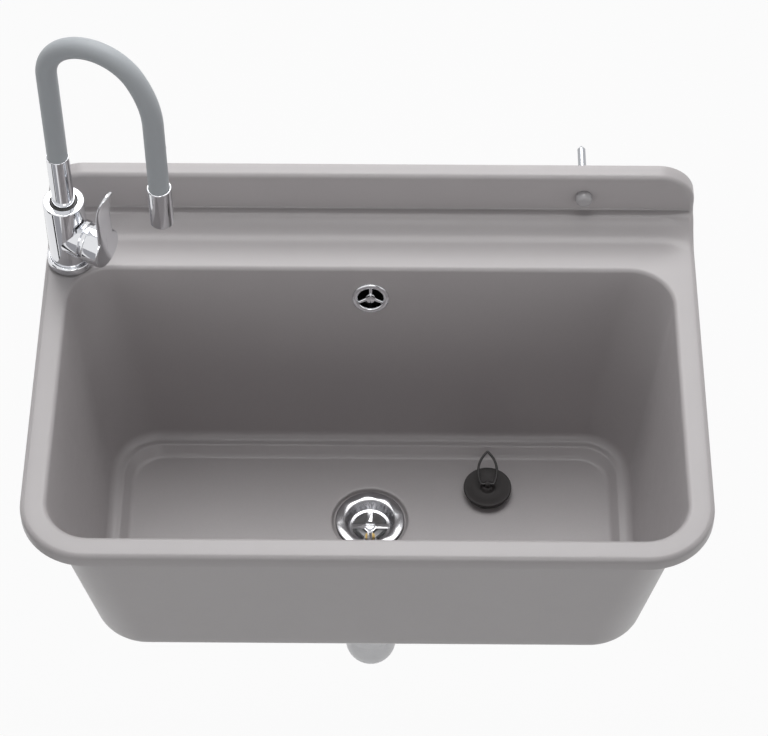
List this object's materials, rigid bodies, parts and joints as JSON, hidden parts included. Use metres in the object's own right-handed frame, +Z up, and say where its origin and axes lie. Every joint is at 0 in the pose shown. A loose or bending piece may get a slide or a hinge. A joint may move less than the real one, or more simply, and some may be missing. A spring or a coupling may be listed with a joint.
{
  "type": "utility laundry sink",
  "caption": "Wall-hung utility laundry sink with deep bowl, upstand, flexible-spout mixer tap, strainer waste, trap, overflow hose and plug.",
  "frame": {"origin": "middle of the two wall screws, on the wall plane", "axes": "+Z up; the front of the sink looks along -Y, so the wall is the plane y = 0; +X to the right seen from the front"},
  "size_m": [0.64, 0.48, 0.8035],
  "materials": {
    "basin_plastic": "fine satin moulded grey",
    "cap_plastic": "satin light grey",
    "white_plastic": "smooth moulded white",
    "pale_plastic": "smooth translucent grey",
    "blue_plastic": "dark blue",
    "black_plastic": "black moulded",
    "black_rubber": "soft black",
    "grey_rubber": "dark grey",
    "hose_rubber": "smooth silicone grey",
    "liner_plastic": "clear inner hose",
    "chrome": "polished",
    "satin_steel": "satin",
    "screw_steel": "zinc plated",
    "brass": "machined",
    "ceramic": "pale cartridge"
  },
  "bodies": {
    "fixed": {"basin": "basin_plastic", "wall_screws": "screw_steel", "screw_washers": "cap_plastic", "screw_caps": "cap_plastic", "bracket": "white_plastic", "bracket_screws": "screw_steel", "bracket_wall_screw": "screw_steel", "strainer_plate": "satin_steel", "strainer_screw": "chrome", "upper_gasket": "black_rubber", "lower_gasket": "black_rubber", "waste_body": "white_plastic", "bridge_insert": "brass", "tail_nut": "white_plastic", "tail_seal": "grey_rubber", "tail_pipe": "white_plastic", "trap_body": "white_plastic", "inlet_seal": "black_rubber", "outlet_seal": "black_rubber", "cleanout_seal": "black_rubber", "outlet_pipe": "white_plastic", "overflow_rosette": "chrome", "overflow_screw": "chrome", "overflow_gasket": "black_rubber", "overflow_elbow": "black_plastic", "overflow_sleeve": "white_plastic", "overflow_hose": "white_plastic", "overflow_cuff": "pale_plastic", "overflow_nut": "white_plastic", "tap_gasket": "black_rubber", "tap_base_ring": "chrome", "tap_body": "chrome", "tap_shank": "brass", "tap_washer": "screw_steel", "tap_nut": "brass", "cartridge": "ceramic", "cartridge_nut": "chrome", "spout_bush": "black_plastic"},
    "plug": {"plug": "black_rubber"},
    "pull_loop": {"plug_ring": "black_plastic"},
    "branch_cap": {"branch_cap": "blue_plastic"},
    "cleanout_cap": {"cleanout_cap": "white_plastic"},
    "wall_flange": {"wall_flange": "white_plastic"},
    "cartridge_rotor": {"cartridge_rotor": "blue_plastic"},
    "lever": {"lever_stem": "screw_steel", "lever": "chrome", "lever_screw": "screw_steel"},
    "spout": {"spout_clip": "screw_steel", "spout_tube": "chrome", "spout_liner": "liner_plastic", "spout_hose": "hose_rubber", "spout_sleeve": "chrome", "aerator": "satin_steel"}
  },
  "joints": [
    {"name": "spout_swivel", "type": "hinge", "parent": "fixed", "child": "spout", "pos_m": [-0.295, -0.072, 0.052], "axis": [0, 0, 1], "range_deg": [-80, 40]},
    {"name": "lever_turn", "type": "hinge", "parent": "fixed", "child": "cartridge_rotor", "pos_m": [-0.27558, -0.08233, 0.006], "axis": [0.8829, -0.4695, 0], "range_deg": [-45, 45]},
    {"name": "lever_lift", "type": "hinge", "parent": "cartridge_rotor", "child": "lever", "pos_m": [-0.27558, -0.08233, 0.006], "axis": [0.4695, 0.8829, 0], "range_deg": [0, 15]},
    {"name": "plug_lift", "type": "slide", "parent": "fixed", "child": "plug", "axis": [0, 0, 1], "range_m": [0, 0.2]},
    {"name": "loop_swing", "type": "hinge", "parent": "plug", "child": "pull_loop", "pos_m": [0.12, -0.182, -0.2545], "axis": [1, 0, 0], "range_deg": [0, 132]},
    {"name": "branch_cap_pull", "type": "slide", "parent": "fixed", "child": "branch_cap", "axis": [-0.7071, -0.7071, 0], "range_m": [0, 0.03]},
    {"name": "cleanout_cap_turn", "type": "hinge", "parent": "fixed", "child": "cleanout_cap", "pos_m": [0, -0.121, -0.492], "axis": [0, 1, 0], "range_deg": [0, 360]},
    {"name": "wall_flange_slide", "type": "slide", "parent": "fixed", "child": "wall_flange", "axis": [0, -1, 0], "range_m": [0, 0.08]}
  ]
}
